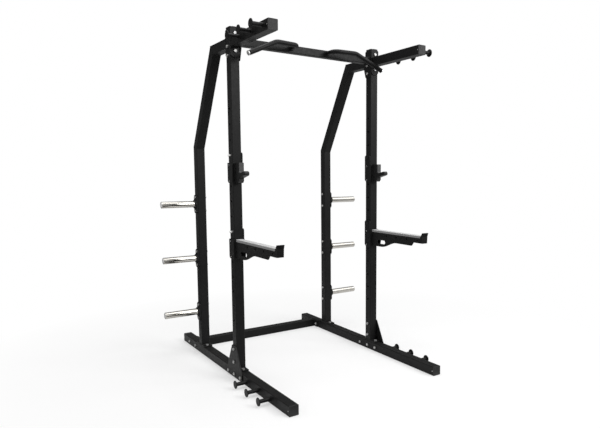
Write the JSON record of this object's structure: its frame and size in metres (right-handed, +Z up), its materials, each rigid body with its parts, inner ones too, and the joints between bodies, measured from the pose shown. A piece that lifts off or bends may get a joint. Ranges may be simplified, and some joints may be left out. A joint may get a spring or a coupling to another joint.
{
  "type": "power cage",
  "caption": "Free-standing half cage with angled rear uprights, pinned barbell hooks and spotter arms, a pull-up beam with angled grips, plate pegs and band pegs.",
  "frame": {"origin": "on the floor, midway between the rails' ends and the two uprights", "axes": "+Z up, +X to the right seen from the front, -Y towards the lifter's way in"},
  "size_m": [1.7116, 1.805, 2.312],
  "materials": {
    "black_coat": "satin powder coat",
    "black_plastic": "grained",
    "chrome": "polished",
    "bright_steel": "zinc plated",
    "grey_plastic": "satin",
    "pale_plastic": "satin"
  },
  "bodies": {
    "frame": {"base_rail_left": "black_coat", "front_upright_left": "black_coat", "rear_upright_left": "black_coat", "top_arm_left": "black_coat", "base_gusset_left": "black_coat", "pull_up_grip_left": "black_coat", "peg_flanges_left": "black_coat", "rail_band_pegs_left": "black_coat", "arm_band_pegs_left": "black_coat", "plate_peg_low_left": "chrome", "plate_peg_middle_left": "chrome", "plate_peg_high_left": "chrome", "base_rail_right": "black_coat", "front_upright_right": "black_coat", "rear_upright_right": "black_coat", "top_arm_right": "black_coat", "base_gusset_right": "black_coat", "pull_up_grip_right": "black_coat", "peg_flanges_right": "black_coat", "rail_band_pegs_right": "black_coat", "arm_band_pegs_right": "black_coat", "plate_peg_low_right": "chrome", "plate_peg_middle_right": "chrome", "plate_peg_high_right": "chrome", "rear_crossmember": "black_coat", "pull_up_beam": "black_coat", "front_foot_plates": "black_coat", "rear_foot_plates": "black_coat", "rail_end_caps": "black_plastic", "arm_end_caps": "black_plastic", "upright_caps": "black_plastic", "grip_end_plugs": "bright_steel", "foot_bolts": "bright_steel", "foot_nuts": "bright_steel", "gusset_bolts": "bright_steel", "gusset_nuts": "bright_steel", "top_joint_bolts": "bright_steel", "top_joint_nuts": "bright_steel", "beam_bolts": "bright_steel", "beam_nuts": "bright_steel", "crossmember_bolts": "bright_steel", "crossmember_nuts": "bright_steel", "peg_bolts": "bright_steel", "peg_nuts": "bright_steel"},
    "hook_left": {"hook_bracket_left": "black_coat", "hook_liner_left": "grey_plastic", "hook_pin_left": "bright_steel"},
    "spotter_left": {"spotter_bracket_left": "black_coat", "spotter_arm_left": "black_coat", "spotter_pad_left": "pale_plastic", "spotter_pin_left": "bright_steel"},
    "hook_right": {"hook_bracket_right": "black_coat", "hook_liner_right": "grey_plastic", "hook_pin_right": "bright_steel"},
    "spotter_right": {"spotter_bracket_right": "black_coat", "spotter_arm_right": "black_coat", "spotter_pad_right": "pale_plastic", "spotter_pin_right": "bright_steel"}
  },
  "joints": [
    {"name": "hook_left_swing", "type": "hinge", "parent": "frame", "child": "hook_left", "pos_m": [-0.56, -0.1465, 1.5], "axis": [-1, 0, 0], "range_deg": [0, 90]},
    {"name": "spotter_left_swing", "type": "hinge", "parent": "frame", "child": "spotter_left", "pos_m": [-0.56, -0.1465, 1], "axis": [-1, 0, 0], "range_deg": [0, 70]},
    {"name": "hook_right_swing", "type": "hinge", "parent": "frame", "child": "hook_right", "pos_m": [0.56, -0.1465, 1.5], "axis": [-1, 0, 0], "range_deg": [0, 90]},
    {"name": "spotter_right_swing", "type": "hinge", "parent": "frame", "child": "spotter_right", "pos_m": [0.56, -0.1465, 1], "axis": [-1, 0, 0], "range_deg": [0, 70]}
  ]
}
